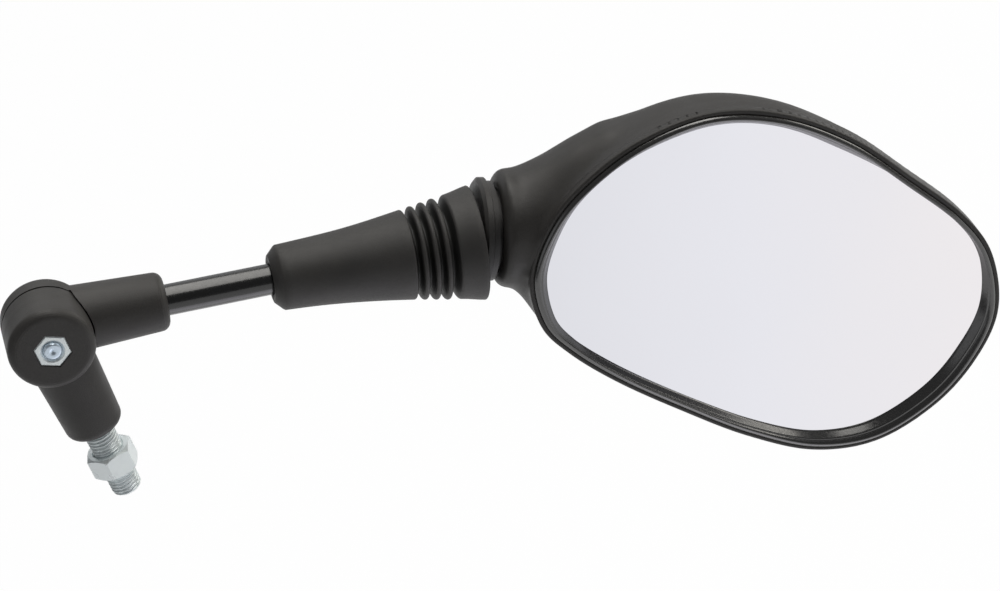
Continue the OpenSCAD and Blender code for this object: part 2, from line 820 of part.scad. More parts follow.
// One moulding: teardrop bowl, flared neck with its bore, and bosses for the carrier's screws
cavity_front = spring_floor + 3;
tube_wall = 1.5;
module housing_shell() {
    plate_base = rim_front - glass_sunk - glass_t - pad_t - carrier_t - 3 * snug_gap;
    color(black_plastic)
        at_head()
            difference() {
                union() {
                    difference() {
                        union() {
                            bowl(0, rim_front - crease);
                            neck_form();
                        }
                        intersection() {
                            bowl(shell_wall + 0.3, rim_front - 4);
                            translate([cavity_front, -150, -60]) cube([300, 300, 120]);
                        }
                        // seat of the rim ring, and room for the carrier below it
                        translate([0, 0, rim_front - rim_skirt - 0.2])
                            linear_extrude(rim_skirt + 3) polygon(inset(shell_wall));
                        translate([0, 0, rim_front - crease - lip_h + 0.2])
                            linear_extrude(lip_h + 3) polygon(inset(glass_inset() + 2));
                    }
                    along_x() cylinder(r = cup_r + tube_wall, h = cavity_front);
                    for (p = screw_places)
                        let (foot = rim_front - bowl_back(p) + shell_wall * 0.8)
                            translate([p[0], p[1], foot])
                                cylinder(r = boss_r, h = plate_base - snug_gap - foot, $fn = 32);
                }
                // bore for the ball joint, and pilot holes in the bosses
                along_x() {
                    translate([0, 0, -neck_out - 1]) cylinder(r = bore_r, h = neck_out + 1 - spigot_end);
                    translate([0, 0, -spigot_end - 1]) cylinder(r = cup_r, h = spigot_end + 1 + spring_floor);
                }
                for (p = screw_places)
                    translate([p[0], p[1], plate_base - screw_l + 1])
                        cylinder(d = screw_d + 0.1, h = screw_l);
            }
}

// Rounded ring that is pressed into the housing and laps over the glass
module rim_ring() {
    d0 = shell_wall + 0.1;
    d1 = shell_wall + rim_w;
    color(black_plastic)
        at_head()
            outline_band([
                [d0, rim_front - rim_skirt],
                [d0, rim_front - 1.0],
                [d0 + 0.5, rim_front - 0.25],
                [d0 + 1.2, rim_front],
                [d0 + 1.9, rim_front - 0.25],
                [d0 + 2.6, rim_front - 1.1],
                [d1, rim_front - glass_sunk + 0.5],
                [d1, rim_front - glass_sunk + 0.1],
                [d0 + 1.5, rim_front - glass_sunk + 0.1],
                [d0 + 1.5, rim_front - rim_skirt]
            ]);
}

module mirror_glass() {
    color(glass_tint)
        at_head() crowned_plate(glass_inset(), rim_front - glass_sunk - glass_t, glass_t, glass_crown);
}

module glass_pad() {
    color([0.1, 0.1, 0.1])
        at_head()
            crowned_plate(glass_inset() + 3, rim_front - glass_sunk - glass_t - pad_t - snug_gap, pad_t, glass_crown * 0.92);
}

// Carrier plate with stiffening ribs, screwed to the bosses
module glass_carrier() {
    base = rim_front - glass_sunk - glass_t - pad_t - carrier_t - 2 * snug_gap;
    color(black_plastic)
        at_head()
            difference() {
                union() {
                    crowned_plate(glass_inset() + 3, base, carrier_t, glass_crown * 0.86);
                }
                for (p = screw_places)
                    translate([p[0], p[1], base - 20]) cylinder(d = screw_d + 0.4, h = 30);
                along_x() translate([0, 0, -5]) cylinder(r = cup_r + tube_wall + 0.5, h = cavity_front + 6);
            }
}

module carrier_screws() {
    base = rim_front - glass_sunk - glass_t - pad_t - carrier_t - 2 * snug_gap;
    color(zinc)
        at_head()
            for (p = screw_places)
                translate([p[0], p[1], base + carrier_t - screw_l])
                    cylinder(d = screw_d, h = screw_l);
}

mounting_stud();
lock_nut();
lower_knuckle();
upper_knuckle();
friction_disc();
pivot_bolt();
pivot_nut();
pivot_washer();
pivot_spring_washer();
arm_rod();
boot_sleeve();
ball_cap();
front_ball_seat();
rear_ball_seat();
pressure_cup();
disc_springs();
housing_shell();
rim_ring();
mirror_glass();
glass_pad();
glass_carrier();
carrier_screws();
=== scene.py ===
import math

import bmesh
import bpy
import numpy as np
from mathutils import Matrix, Vector


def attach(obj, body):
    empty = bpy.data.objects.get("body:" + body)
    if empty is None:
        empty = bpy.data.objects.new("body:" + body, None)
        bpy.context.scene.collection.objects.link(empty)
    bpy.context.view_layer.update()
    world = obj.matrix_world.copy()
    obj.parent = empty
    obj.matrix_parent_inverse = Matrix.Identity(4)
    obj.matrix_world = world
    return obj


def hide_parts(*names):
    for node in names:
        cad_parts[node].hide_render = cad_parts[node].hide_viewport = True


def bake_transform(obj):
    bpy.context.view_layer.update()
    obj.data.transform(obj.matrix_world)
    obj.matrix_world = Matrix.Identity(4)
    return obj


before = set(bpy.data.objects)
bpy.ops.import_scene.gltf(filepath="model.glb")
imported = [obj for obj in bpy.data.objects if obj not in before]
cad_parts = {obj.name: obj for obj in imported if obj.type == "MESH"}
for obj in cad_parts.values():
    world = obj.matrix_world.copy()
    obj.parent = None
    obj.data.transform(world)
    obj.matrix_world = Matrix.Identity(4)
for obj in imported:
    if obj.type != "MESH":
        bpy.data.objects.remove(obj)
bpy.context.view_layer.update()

MM = 0.001


# Camera: a long lens above the glass side, rolled so that the arm runs across the picture
CAMERA_AT = (0.08867, -0.84518, 0.52130)
# Its right, up and backward directions
CAMERA_AXES = (
    (0.9100, -0.25258, -0.32886),
    (0.4121, 0.46243, 0.78508),
    (-0.0462, -0.84992, 0.52489),
)


def make_camera():
    data = bpy.data.cameras.new("photo_camera")
    data.sensor_width = 36.0
    data.lens = 110.87
    data.clip_start = 0.05
    data.clip_end = 20.0
    data.dof.use_dof = False
    obj = bpy.data.objects.new("photo_camera", data)
    bpy.context.scene.collection.objects.link(obj)
    columns = (*CAMERA_AXES, CAMERA_AT)
    rows = [[column[i] for column in columns] for i in range(3)]
    obj.matrix_world = Matrix(rows + [[0.0, 0.0, 0.0, 1.0]])
    bpy.context.scene.camera = obj


make_camera()
bpy.context.scene.view_settings.view_transform = "Standard"


# Small helpers for node materials
class Mat:
    def __init__(self, name):
        self.mat = bpy.data.materials.new(name)
        self.mat.use_nodes = True
        self.nt = self.mat.node_tree
        self.nt.nodes.clear()
        self.out = self.nt.nodes.new("ShaderNodeOutputMaterial")
        self.bsdf = self.nt.nodes.new("ShaderNodeBsdfPrincipled")
        self.nt.links.new(self.bsdf.outputs[0], self.out.inputs["Surface"])
        self.coords = None

    def node(self, kind):
        return self.nt.nodes.new(kind)

    def link(self, a, b):
        self.nt.links.new(a, b)

    # Fixed values of the surface's sockets
    def set(self, **values):
        for key, value in values.items():
            self.bsdf.inputs[key.replace("_", " ")].default_value = value

    # Node outputs that drive the surface's sockets
    def feed(self, **outputs):
        for key, output in outputs.items():
            self.link(output, self.bsdf.inputs[key.replace("_", " ")])

    def place(self):
        if self.coords is None:
            self.coords = self.node("ShaderNodeTexCoord").outputs["Object"]
        return self.coords

    def along(self, axis):
        n = self.node("ShaderNodeSeparateXYZ")
        self.link(self.place(), n.inputs[0])
        return n.outputs[axis]

    def noise(self, scale, detail=2.0, rough=0.5, stretch=None, distortion=0.0):
        n = self.node("ShaderNodeTexNoise")
        n.inputs["Scale"].default_value = scale
        n.inputs["Detail"].default_value = detail
        n.inputs["Roughness"].default_value = rough
        n.inputs["Distortion"].default_value = distortion
        if stretch is None:
            self.link(self.place(), n.inputs["Vector"])
        else:
            m = self.node("ShaderNodeMapping")
            m.inputs["Scale"].default_value = stretch
            self.link(self.place(), m.inputs["Vector"])
            self.link(m.outputs[0], n.inputs["Vector"])
        return n.outputs["Fac"]

    def ramp(self, fac, stops):
        n = self.node("ShaderNodeValToRGB")
        ramp = n.color_ramp
        while len(ramp.elements) > 1:
            ramp.elements.remove(ramp.elements[-1])
        ramp.elements[0].position = stops[0][0]
        ramp.elements[0].color = stops[0][1]
        for pos, col in stops[1:]:
            e = ramp.elements.new(pos)
            e.color = col
        self.link(fac, n.inputs["Fac"])
        return n.outputs["Color"]

    def remap(self, fac, lo, hi, to_lo, to_hi):
        n = self.node("ShaderNodeMapRange")
        n.inputs["From Min"].default_value = lo
        n.inputs["From Max"].default_value = hi
        n.inputs["To Min"].default_value = to_lo
        n.inputs["To Max"].default_value = to_hi
        self.link(fac, n.inputs["Value"])
        return n.outputs["Result"]

    # The noises lie mostly between 0.3 and 0.7
    def vary(self, noise, lo, hi):
        return self.remap(noise, 0.3, 0.7, lo, hi)

    def two_tone(self, noise, dark, light):
        return self.ramp(noise, [(0.3, dark), (0.7, light)])

    def add(self, a, b):
        n = self.node("ShaderNodeMath")
        n.operation = "ADD"
        self.link(a, n.inputs[0])
        self.link(b, n.inputs[1])
        return n.outputs[0]

    def mix(self, blend, factor, a, b):
        n = self.node("ShaderNodeMix")
        n.data_type = "RGBA"
        n.blend_type = blend
        for key, value in (("Factor", factor), ("A", a), ("B", b)):
            if isinstance(value, (float, tuple)):
                n.inputs[key].default_value = value
            else:
                self.link(value, n.inputs[key])
        return n.outputs["Result"]

    # Layers of (height, strength, depth in metres), the coarse one first
    def bump(self, layers):
        last = None
        for height, strength, distance in layers:
            n = self.node("ShaderNodeBump")
            n.inputs["Strength"].default_value = strength
            n.inputs["Distance"].default_value = distance
            self.link(height, n.inputs["Height"])
            if last is not None:
                self.link(last, n.inputs["Normal"])
            last = n.outputs["Normal"]
        self.link(last, self.bsdf.inputs["Normal"])


def grey(v, warm=0.0):
    return (v * (1 + warm), v, v * (1 - warm), 1.0)


# Near-black colour of the painted shade
SHADE = grey(0.004)


# Moulded black plastic with a fine spark-eroded grain and flow marks; an optional pair of heights
# gives painted shade, near black below the lower one and gone above the upper one
def moulded(name, base, warm, rough, grain, painted_shade_below=None):
    m = Mat(name)
    cloud = m.noise(38.0, 4.0, 0.6)
    speck = m.noise(2600.0, 2.0, 0.6)
    flow = m.noise(120.0, 3.0, 0.5, stretch=(0.35, 1.0, 1.0), distortion=0.6)
    tone = m.ramp(cloud, [
        (0.30, grey(base * 0.86, warm)), (0.55, grey(base, warm)), (0.78, grey(base * 1.22, warm * 0.6)),
    ])
    grains = m.ramp(speck, [(0.35, grey(0.78)), (0.65, grey(1.25))])
    tone = m.mix("MULTIPLY", 0.45, tone, grains)
    # painted shade, mixed in by height
    if painted_shade_below:
        light = m.remap(m.along("Z"), painted_shade_below[0], painted_shade_below[1], 0.0, 1.0)
        tone = m.mix("MIX", light, SHADE, tone)
    roughness = m.add(m.vary(flow, rough - 0.05, rough + 0.05), m.vary(speck, -0.04, 0.04))
    m.feed(Base_Color=tone, Roughness=roughness)
    m.set(IOR=1.47, Specular_IOR_Level=0.38)
    m.bump([(cloud, 0.16, 0.0007), (speck, grain, 0.0001)])
    return m.mat


def rubber(name):
    m = Mat(name)
    cloud = m.noise(55.0, 4.0, 0.6)
    speck = m.noise(1900.0, 3.0, 0.6)
    tone = m.ramp(cloud, [(0.30, grey(0.025, 0.03)), (0.60, grey(0.033, 0.05)), (0.82, grey(0.041, 0.02))])
    m.feed(Base_Color=tone, Roughness=m.vary(speck, 0.50, 0.62))
    m.set(IOR=1.5, Specular_IOR_Level=0.42)
    m.bump([(cloud, 0.10, 0.0006), (speck, 0.35, 0.00009)])
    return m.mat


def zinc(name, tint=(0.89, 0.96, 0.98), metal=0.3):
    m = Mat(name)
    cloud = m.noise(150.0, 2.0, 0.5)
    dark = tuple(c * 0.95 for c in tint) + (1.0,)
    light = tuple(min(1.0, c * 1.04) for c in tint) + (1.0,)
    m.feed(Base_Color=m.two_tone(cloud, dark, light), Roughness=m.vary(cloud, 0.26, 0.32))
    m.set(Metallic=metal, IOR=1.6, Specular_IOR_Level=0.8)
    return m.mat


# Black lacquer with a faint orange peel
def gloss_black(name):
    m = Mat(name)
    cloud = m.noise(70.0, 3.0, 0.5)
    peel = m.noise(700.0, 2.0, 0.5)
    m.feed(Base_Color=m.two_tone(cloud, grey(0.003), grey(0.005)), Roughness=m.vary(peel, 0.20, 0.28))
    m.set(IOR=1.5, Specular_IOR_Level=0.5, Coat_Weight=0.35, Coat_Roughness=0.08)
    m.bump([(peel, 0.08, 0.0001)])
    return m.mat


# Silvering with a painted reflection: its tint warms towards the outer end and the lower edge
def silvered_glass(name):
    m = Mat(name)
    haze = m.noise(9.0, 2.0, 0.5)
    dust = m.noise(1500.0, 2.0, 0.7)
    # painted reflection: tint set by place on the glass, with a little random haze
    painted_reflection_warmth = m.add(m.remap(m.along("X"), 0.15, 0.28, 0.05, 0.85), m.vary(haze, 0.0, 0.15))
    painted_reflection_warmth = m.add(painted_reflection_warmth, m.remap(m.along("Z"), -0.05, 0.08, 0.08, -0.22))
    tint = m.ramp(painted_reflection_warmth, [
        (0.0, (0.715, 0.72, 0.765, 1)),
        (0.5, (0.80, 0.80, 0.85, 1)),
        (1.0, (0.86, 0.83, 0.845, 1)),
    ])
    m.feed(Base_Color=tint, Roughness=m.remap(dust, 0.55, 0.8, 0.02, 0.06))
    m.set(Metallic=1.0)
    return m.mat


def plain(name, col, rough, scale=400.0):
    m = Mat(name)
    cloud = m.noise(scale, 3.0, 0.6)
    dark = tuple(c * 0.85 for c in col) + (1.0,)
    light = tuple(min(1.0, c * 1.12) for c in col) + (1.0,)
    m.feed(Base_Color=m.two_tone(cloud, dark, light), Roughness=m.vary(cloud, rough - 0.05, rough + 0.05))
    m.bump([(cloud, 0.2, 0.0001)])
    return m.mat


def rim_black(name):
    m = Mat(name)
    cloud = m.noise(60.0, 3.0, 0.6)
    speck = m.noise(1500.0, 2.0, 0.5)
    tone = m.two_tone(cloud, grey(0.012, 0.03), grey(0.019, 0.08))
    m.feed(Base_Color=tone, Roughness=m.vary(speck, 0.16, 0.27))
    m.set(IOR=1.6, Specular_IOR_Level=0.85)
    m.bump([(speck, 0.12, 0.00005)])
    return m.mat


knuckle_mat = moulded("knuckle_plastic", 0.040, 0.05, 0.50, 0.45)
housing_mat = moulded("housing_plastic", 0.030, 0.06, 0.48, 0.40)
# painted shade: the cap goes near black below 20 mm height, fading out by 36 mm, where the neck's mouth
# shades its lower step
cap_mat = moulded("cap_plastic", 0.046, 0.04, 0.46, 0.35, painted_shade_below=(0.020, 0.036))
rubber_mat = rubber("boot_rubber")
zinc_mat = zinc("zinc_plate")
bolt_mat = zinc("bolt_plate", (0.60, 0.70, 0.80), 0.6)
# Near-black painted shade for the boot's grooves
painted_groove_shade_mat = plain("boot_groove_painted_shade", (0.004, 0.004, 0.0035), 0.6)
rod_mat = gloss_black("arm_lacquer")
glass_mat = silvered_glass("silvered_glass")
rim_mat = rim_black("rim_plastic")
seat_mat = plain("acetal", (0.72, 0.70, 0.64), 0.35)
foam_mat = plain("foam", (0.035, 0.035, 0.035), 0.9, 900.0)
carrier_mat = moulded("carrier_plastic", 0.03, 0.02, 0.5, 0.3)
fibre_mat = plain("friction_fibre", (0.02, 0.018, 0.016), 0.9, 1500.0)
spring_mat = zinc("spring_steel", (0.45, 0.45, 0.46), 0.9)

looks = {
    "mounting_stud": zinc_mat, "lock_nut": zinc_mat, "pivot_bolt": bolt_mat, "pivot_nut": zinc_mat,
    "pivot_washer": zinc_mat, "pivot_spring_washer": zinc_mat, "carrier_screws": zinc_mat,
    "disc_springs": spring_mat, "lower_knuckle": knuckle_mat, "upper_knuckle": knuckle_mat,
    "friction_disc": fibre_mat, "arm_rod": rod_mat, "boot_sleeve": rubber_mat, "ball_cap": cap_mat,
    "front_ball_seat": seat_mat, "rear_ball_seat": seat_mat, "pressure_cup": seat_mat,
    "housing_shell": housing_mat, "rim_ring": rim_mat, "mirror_glass": glass_mat, "glass_pad": foam_mat,
    "glass_carrier": carrier_mat,
}
for name, mat in looks.items():
    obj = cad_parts[name]
    if not obj.material_slots:
        obj.data.materials.append(mat)
    for s in obj.material_slots:
        s.material = mat


def rot(axis, degrees):
    return Matrix.Rotation(math.radians(degrees), 4, axis)


def shift(x, y, z):
    return Matrix.Translation((x * MM, y * MM, z * MM))


# Places of the sub-assemblies, as the solids have them: knuckle's bolt, arm, and head from the ball
BALL_AT = 152.5
HUB = shift(0, 5.0, 55.0) @ rot("X", 90)
ARM = HUB @ shift(0, 0, -0.9) @ rot("Z", -14.8)
HEAD = ARM @ shift(BALL_AT, 0, 0) @ rot("Z", -9.2) @ rot("Y", -3.1) @ rot("X", -0.7)
ALONG_X = rot("Y", 90)


# Piece from points in millimetres, placed by a matrix, with one material
def new_object(name, verts, faces, mat, smooth=True, matrix=None):
    mesh = bpy.data.meshes.new(name)
    pts = np.asarray(verts, dtype=float) * MM
    if matrix is not None:
        m = np.array(matrix)
        pts = pts @ m[:3, :3].T + m[:3, 3]
    mesh.from_pydata(pts.tolist(), [], faces)
    bm = bmesh.new()
    bm.from_mesh(mesh)
    bmesh.ops.recalc_face_normals(bm, faces=bm.faces)
    bm.to_mesh(mesh)
    bm.free()
    if smooth:
        mesh.polygons.foreach_set("use_smooth", [True] * len(mesh.polygons))
    obj = bpy.data.objects.new(name, mesh)
    bpy.context.scene.collection.objects.link(obj)
    mesh.materials.append(mat)
    return obj


def arc(cx, cy, r, a0, a1, n=6):
    angles = [math.radians(a0 + (a1 - a0) * k / n) for k in range(n + 1)]
    return [(cx + r * math.cos(a), cy + r * math.sin(a)) for a in angles]


# Turns a closed profile of (radius, height) about Z; wobble moves each point a little
def turned(profile, segments, wobble=None):
    verts = []
    n = len(profile)
    for i in range(segments):
        a = 2 * math.pi * i / segments
        for r, z in profile:
            rr, zz = (r, z) if wobble is None else wobble(r, z, a)
            verts.append((rr * math.cos(a), rr * math.sin(a), zz))
    faces = []
    for i in range(segments):
        j = (i + 1) % segments
        for k in range(n):
            m = (k + 1) % n
            faces.append((i * n + k, j * n + k, j * n + m, i * n + m))
    return verts, faces


# The head's sizes in millimetres, as the solids have them: its outline's two ends, and between them
# rows of (station, upper edge, lower edge)
OUT_L = (1.6, -7.9)
OUT_R = (162.2, -25.2)
ROWS = [
    (6.5, 10.6, -25.4), (17, 25.3, -36.2), (34, 39.3, -47.4), (56, 48.1, -58.7), (80, 47.1, -69.5),
    (104, 38.1, -76.1), (126, 23.7, -73.5), (145, 9.9, -60.6), (157, -4.6, -43.8),
]
# Depth that the straight lip loses by station
LIP_LOSS = [(0, 0), (60, 0), (80, 1), (100, 4.5), (118, 5.5), (140, 3), (162, 1.5)]
# The neck's flare: station, gain of its upper side, gain of its lower side
FLARE = [
    (-8, 1.6, 0.3), (-1, 1.9, -0.3), (3, 3.5, -3.9), (9, 6.8, -10.5), (17, 12.2, -16.3), (27, 18, -20.6),
    (38, 19.5, -25),
]
# Width that the rim's inner side gains or loses round the glass: direction in degrees, millimetres
RIM_WIDER = [
    (-52, 2.4), (-16, 2.3), (8, -1.9), (40, -2.3), (64, 0.3), (96, -0.3), (118, 0.4), (150, -0.8),
    (162, 0.4), (176, 1.1), (190, 0.1), (204, -1.4), (240, -0.5), (280, 0.5), (308, 2.4), (344, 2.3),
    (368, -1.9),
]
MIDDLE = (80.0, -12.0)
# Heights from the arm's axis: the rim's front, and how far behind it the housing's lip stands
RIM, CREASE = 20.0, 1.2
# Depths: straight lip, bowl at its tip, bowl behind the axis; and how square the bowl's section is
LIP, TIP, BACK, POWER = 9.5, 14.0, 22.5, 2.8
WALL = 2.0
NECK_R, NECK_OUT, NECK_ROUND = 18.4, 6.7, 3.6
# Inside the housing: the ball joint's tube, its mouth, and the screws' posts
RIM_FOOT = 13.0
TUBE_IN_R, TUBE_OUT_R, TUBE_FLOOR, TUBE_END = 11.2, 12.7, 15.5, 18.5
MOUTH_R, POST_R, POST_TOP = 13.5, 4.2, 11.3
POSTS = ((34, 8), (52, -28), (92, 12), (98, -46))


# Closed smooth curve through the outline's key points
def outline(steps=16):
    keys = [OUT_L] + [(r[0], r[1]) for r in ROWS] + [OUT_R] + [(r[0], r[2]) for r in reversed(ROWS)]
    keys = np.array(keys, float)
    out = []
    for i in range(len(keys)):
        a, b, c, d = (keys[(i + k) % len(keys)] for k in (-1, 0, 1, 2))
        for k in range(steps):
            t = k / steps
            bend = (2 * a - 5 * b + 4 * c - d) * t ** 2 + (3 * b - a - 3 * c + d) * t ** 3
            out.append(0.5 * (2 * b + (c - a) * t + bend))
    return np.array(out)


# Outline moved inwards by a distance, which may differ from point to point
def inset(points, distance):
    d = np.roll(points, -1, axis=0) - np.roll(points, 1, axis=0)
    d /= np.linalg.norm(d, axis=1)[:, None]
    return points + np.stack([d[:, 1], -d[:, 0]], 1) * distance


# Signed distance to a closed outline in the plane, negative inside
def plane_distance(x, y, poly):
    px, py = x.ravel(), y.ravel()
    best = np.full(px.shape, 1e9)
    inside = np.zeros(px.shape, bool)
    for (ax, ay), (bx, by) in zip(poly, np.roll(poly, -1, axis=0)):
        ex, ey = bx - ax, by - ay
        t = np.clip(((px - ax) * ex + (py - ay) * ey) / (ex * ex + ey * ey), 0, 1)
        best = np.minimum(best, np.hypot(px - ax - t * ex, py - ay - t * ey))
        inside ^= ((ay > py) != (by > py)) & (px < ex * (py - ay) / (ey + 1e-12) + ax)
    return np.where(inside, -best, best).reshape(x.shape)


# Larger and smaller of two fields, with their corner rounded over about k
def soft_max(a, b, k):
    h = np.clip(0.5 + 0.5 * (a - b) / k, 0, 1)
    return b + (a - b) * h + k * h * (1 - h)


def soft_min(a, b, k):
    return -soft_max(-a, -b, k)


# Turns a shape's field, which is right only at its zero surface, into a rough distance
def to_distance(shape, step):
    f = shape * 20
    g = np.gradient(f, step)
    return f / np.maximum(np.sqrt(g[0] ** 2 + g[1] ** 2 + g[2] ** 2), 0.02)


# Value of a table's column at u, with the corners of its line rounded over a width
def eased(u, table, column, width):
    us = [r[0] for r in table]
    values = [r[column] for r in table]
    shifts = np.linspace(-0.5, 0.5, 9) * width
    return sum(np.interp(u + s, us, values) for s in shifts) / len(shifts)


# The housing as a field of distances over a grid, u along the head, v across it and w to the front
class Head:
    def __init__(self):
        self.poly = inset(outline(), 0.07)
        n = len(self.poly)
        half = n // 2
        up = self.poly[:half + 1]
        lo = np.array([self.poly[(n - j) % n] for j in range(half + 1)])
        self.us = up[:, 0]
        self.mid = (up[:, 1] + lo[:, 1]) / 2
        self.half = (up[:, 1] - lo[:, 1]) / 2

    # Depth of the bowl behind the rim's front
    def depth(self, u):
        s = np.clip((u - OUT_L[0]) / (OUT_R[0] - OUT_L[0]), 0, 1)
        rise = np.clip((u - OUT_L[0]) / 36, 0, 1)
        main = TIP + (RIM + BACK - TIP) * (1 - (s * s * (3 - 2 * s)) ** 0.9)
        return main - (BACK - NECK_R + 0.5) * (1 - rise * rise * (3 - 2 * rise))

    # Bowl drawn in by a distance
    def bowl(self, u, v, w, step, flat, distance):
        mid = np.interp(u, self.us, self.mid)
        half = np.maximum(np.interp(u, self.us, self.half) - distance, 0.3)
        lip = RIM - CREASE - LIP + eased(u, LIP_LOSS, 1, 16.0)
        deep = lip - RIM + self.depth(u) - distance * 1.1
        across = np.abs(v - mid) / half
        down = np.maximum(lip - w, 0) / deep
        shape = (across ** POWER + down ** POWER) ** (1 / POWER) - 1
        return np.maximum(to_distance(shape, step), flat + distance)

    # Neck that flares from a round mouth into the bowl's section
    def neck(self, u, v, w, step):
        rise = eased(u, FLARE, 1, 4.0)
        fall = eased(u, FLARE, 2, 4.0)
        share = np.clip((u + 1) / 40, 0, 1)
        power = 2 + (POWER - 2) * share
        front = NECK_R - 0.2 * share
        back = NECK_R + (BACK - NECK_R - 6) * share
        t = np.clip((u + NECK_OUT) / NECK_ROUND, 0, 1)
        trim = NECK_ROUND * (1 - np.sqrt(np.clip(1 - (1 - t) ** 2, 0, 1)))
        half_v = NECK_R + (rise - fall) / 2 - trim
        half_w = (front + back) / 2 - trim
        a = np.abs(v - (rise + fall) / 2) / half_v
        b = np.abs(w - (front - back) / 2) / half_w
        shape = (a ** power + b ** power) ** (1 / power) - 1
        return np.maximum(np.maximum(to_distance(shape, step), -NECK_OUT - u), u - FLARE[-1][0])

    # Outer skin: bowl and neck joined in a fillet, flat in front and no deeper than the neck
    def skin(self, u, v, w, step, flat):
        skin = soft_min(self.bowl(u, v, w, step, flat, 0.0), self.neck(u, v, w, step), 2.6)
        skin = soft_max(skin, w - (RIM - CREASE), 0.8)
        return soft_max(skin, -NECK_R - w, 1.6)

    def solid(self, u, v, w, step):
        flat = plane_distance(u[:, :, 0], v[:, :, 0], self.poly)[:, :, None]
        solid = self.skin(u, v, w, step, flat)
        hollow = np.maximum(self.bowl(u, v, w, step, flat, WALL + 0.3), TUBE_END - 0.3 - u)
        hollow = np.maximum(hollow, w - 16)
        mouth = np.maximum(flat + WALL, RIM_FOOT - 0.2 - w)
        mouth = np.minimum(mouth, np.maximum(flat + 6.1, 9.5 - w))
        radius = np.sqrt(v * v + w * w)
        tube = np.maximum(radius - TUBE_OUT_R, u - TUBE_END)
        solid = np.maximum(solid, -np.minimum(hollow, mouth))
        solid = np.minimum(solid, np.maximum(tube, -u - 2))
        for at_u, at_v in POSTS:
            post = np.maximum(np.hypot(u - at_u, v - at_v) - POST_R, w - POST_TOP)
            deep = RIM - self.depth(np.array([at_u]))[0] + 3.5
            solid = np.minimum(solid, np.maximum(post, deep - w))
        solid = np.maximum(solid, -np.maximum(radius - MOUTH_R, u + 1.5))
        return np.maximum(solid, -np.maximum(radius - TUBE_IN_R, u - TUBE_FLOOR))


# Quad mesh of a field's zero surface (surface nets)
def surface_nets(f, low, step):
    inside = f < 0
    count = sum(
        inside[dx:f.shape[0] - 1 + dx, dy:f.shape[1] - 1 + dy, dz:f.shape[2] - 1 + dz].astype(int)
        for dx in (0, 1) for dy in (0, 1) for dz in (0, 1)
    )
    active = (count > 0) & (count < 8)
    cells = np.argwhere(active)
    index = np.full(active.shape, -1)
    index[active] = np.arange(len(cells))
    total = np.zeros((len(cells), 3))
    crossings = np.zeros(len(cells))
    corners = [np.array((x, y, z)) for x in (0, 1) for y in (0, 1) for z in (0, 1)]
    for ca in corners:
        for cb in corners:
            if (cb - ca).sum() != 1 or np.abs(cb - ca).sum() != 1:
                continue
            fa = f[tuple((cells + ca).T)]
            fb = f[tuple((cells + cb).T)]
            cut = (fa < 0) != (fb < 0)
            t = np.where(cut, fa / np.where(cut, fa - fb, 1), 0)
            total += np.where(cut[:, None], ca + (cb - ca) * t[:, None], 0)
            crossings += cut
    verts = low + (cells + total / crossings[:, None]) * step
    quads = []
    for axis in range(3):
        o1, o2 = (axis + 1) % 3, (axis + 2) % 3
        size = f.shape[axis]
        a = np.take(inside, range(size - 1), axis)
        b = np.take(inside, range(1, size), axis)
        edge = np.argwhere(a != b)
        flip = ~a[tuple(edge.T)]
        ring = []
        for d1, d2 in ((1, 1), (0, 1), (0, 0), (1, 0)):
            e = edge.copy()
            e[:, o1] -= d1
            e[:, o2] -= d2
            ring.append(index[tuple(e.T)])
        quad = np.stack(ring, 1)
        quad[flip] = quad[flip][:, ::-1]
        quads.append(quad)
    return verts, np.concatenate(quads)


# Takes the steps of the grid out of a quad mesh without shrinking it
def smoothed(verts, quads, rounds):
    a = quads.ravel()
    b = np.roll(quads, -1, axis=1).ravel()
    links = np.bincount(np.concatenate([a, b]), minlength=len(verts))[:, None]
    for _ in range(rounds):
        for share in (0.55, -0.57):
            total = np.zeros_like(verts)
            np.add.at(total, a, verts[b])
            np.add.at(total, b, verts[a])
            verts = verts + share * (total / links - verts)
    return verts


# Puts the points of the housing's lip exactly on the outline and on the front plane
def sharpen_lip(verts):
    line = outline(24)
    near = np.argwhere((verts[:, 2] > 11) & (verts[:, 0] > 6)).ravel()
    flat = plane_distance(verts[near, 0], verts[near, 1], line)
    near = near[(flat > -3.0) & (flat < 0.8)]
    small = 0.05

    def field(p):
        side = plane_distance(p[:, 0], p[:, 1], line)
        front = p[:, 2] - (RIM - CREASE)
        inner = np.maximum(side + WALL, RIM_FOOT - 0.2 - p[:, 2])
        return np.maximum(soft_max(side, front, 0.7), -inner)

    for _ in range(2):
        p = verts[near]
        f = field(p)
        grad = np.stack([(field(p + d) - f) / small for d in np.eye(3) * small], 1)
        move = -f[:, None] * grad / np.maximum((grad ** 2).sum(1), 0.25)[:, None]
        # no move beside the neck, where the lip runs into the flare
        held = np.clip((p[:, :1] - 22) / 18, 0, 1)
        verts[near] = p + np.where(np.abs(f)[:, None] < 1.0, move, 0) * held
    return verts


# Housing: the same moulding as the solid, with the neck running into the bowl in a fillet
def make_housing():
    step = 1.0
    low = np.array([-9.5, -79.0, -25.0])
    high = np.array([164.5, 51.0, 21.0])
    axes = [np.arange(low[i], high[i] + step, step) for i in range(3)]
    u, v, w = np.meshgrid(*axes, indexing="ij")
    verts, quads = surface_nets(Head().solid(u, v, w, step), low, step)
    verts = sharpen_lip(smoothed(verts, quads, 10))
    faces = quads.tolist()
    obj = new_object("housing_moulding", verts, faces, housing_mat, matrix=HEAD)
    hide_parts("housing_shell")
    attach(obj, "head")


# Mesh of a closed profile of (inset, height) points carried round the outline
def carried_round(line, rings):
    verts = [(ring[i][0], ring[i][1], h) for i in range(len(line)) for ring, h in rings]
    faces = []
    m = len(rings)
    for i in range(len(line)):
        j = (i + 1) % len(line)
        faces += [(i * m + k, j * m + k, j * m + (k + 1) % m, i * m + (k + 1) % m) for k in range(m)]
    return verts, faces


